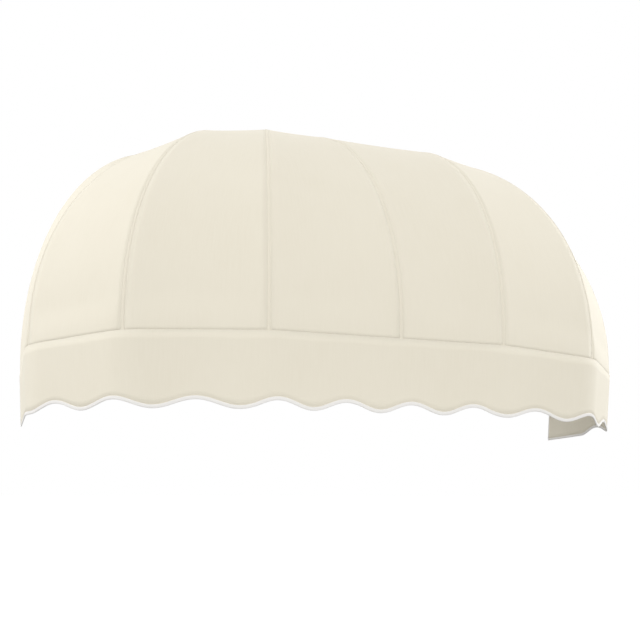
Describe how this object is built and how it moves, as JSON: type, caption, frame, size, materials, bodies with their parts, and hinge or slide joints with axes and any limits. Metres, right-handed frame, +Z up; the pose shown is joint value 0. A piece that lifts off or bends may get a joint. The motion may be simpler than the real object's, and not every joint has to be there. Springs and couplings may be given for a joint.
{
  "type": "window awning",
  "caption": "Fixed elongated dome window awning: gored canvas cover and scalloped valance on a bent tube frame for a wall.",
  "frame": {"origin": "middle of the head rail's back face, on the wall plane", "axes": "+X along the wall to the right seen from outside, -Y out from the wall, +Z up"},
  "size_m": [2.4442, 0.9197, 1.1194],
  "materials": {
    "canvas": "woven acrylic canvas, matte, ivory",
    "binding": "woven braid tape, matte, white",
    "frame_tube": "extruded, mill finish",
    "hardware": "zinc plated"
  },
  "bodies": {
    "root": {"rib_left_1": "frame_tube", "foot_plug_left_1": "hardware", "rib_left_2": "frame_tube", "foot_plug_left_2": "hardware", "rib_left_3": "frame_tube", "foot_plug_left_3": "hardware", "wall_hoop_left": "frame_tube", "hub_left": "hardware", "front_bow_left": "frame_tube", "splice_left": "hardware", "splice_screw_left_1": "hardware", "splice_screw_left_2": "hardware", "foot_plate_left": "hardware", "rail_strap_left": "hardware", "hoop_tab_left": "hardware", "rib_right_1": "frame_tube", "foot_plug_right_1": "hardware", "rib_right_2": "frame_tube", "foot_plug_right_2": "hardware", "rib_right_3": "frame_tube", "foot_plug_right_3": "hardware", "wall_hoop_right": "frame_tube", "hub_right": "hardware", "front_bow_right": "frame_tube", "splice_right": "hardware", "splice_screw_right_1": "hardware", "splice_screw_right_2": "hardware", "foot_plate_right": "hardware", "rail_strap_right": "hardware", "hoop_tab_right": "hardware", "rib_middle": "frame_tube", "foot_plug_middle": "hardware", "middle_cleat": "hardware", "head_rail": "frame_tube", "front_bar": "frame_tube", "gore_1": "canvas", "gore_2": "canvas", "gore_3": "canvas", "gore_4": "canvas", "gore_5": "canvas", "gore_6": "canvas", "gore_7": "canvas", "gore_8": "canvas", "valance": "canvas", "valance_binding": "binding"}
  },
  "joints": []
}
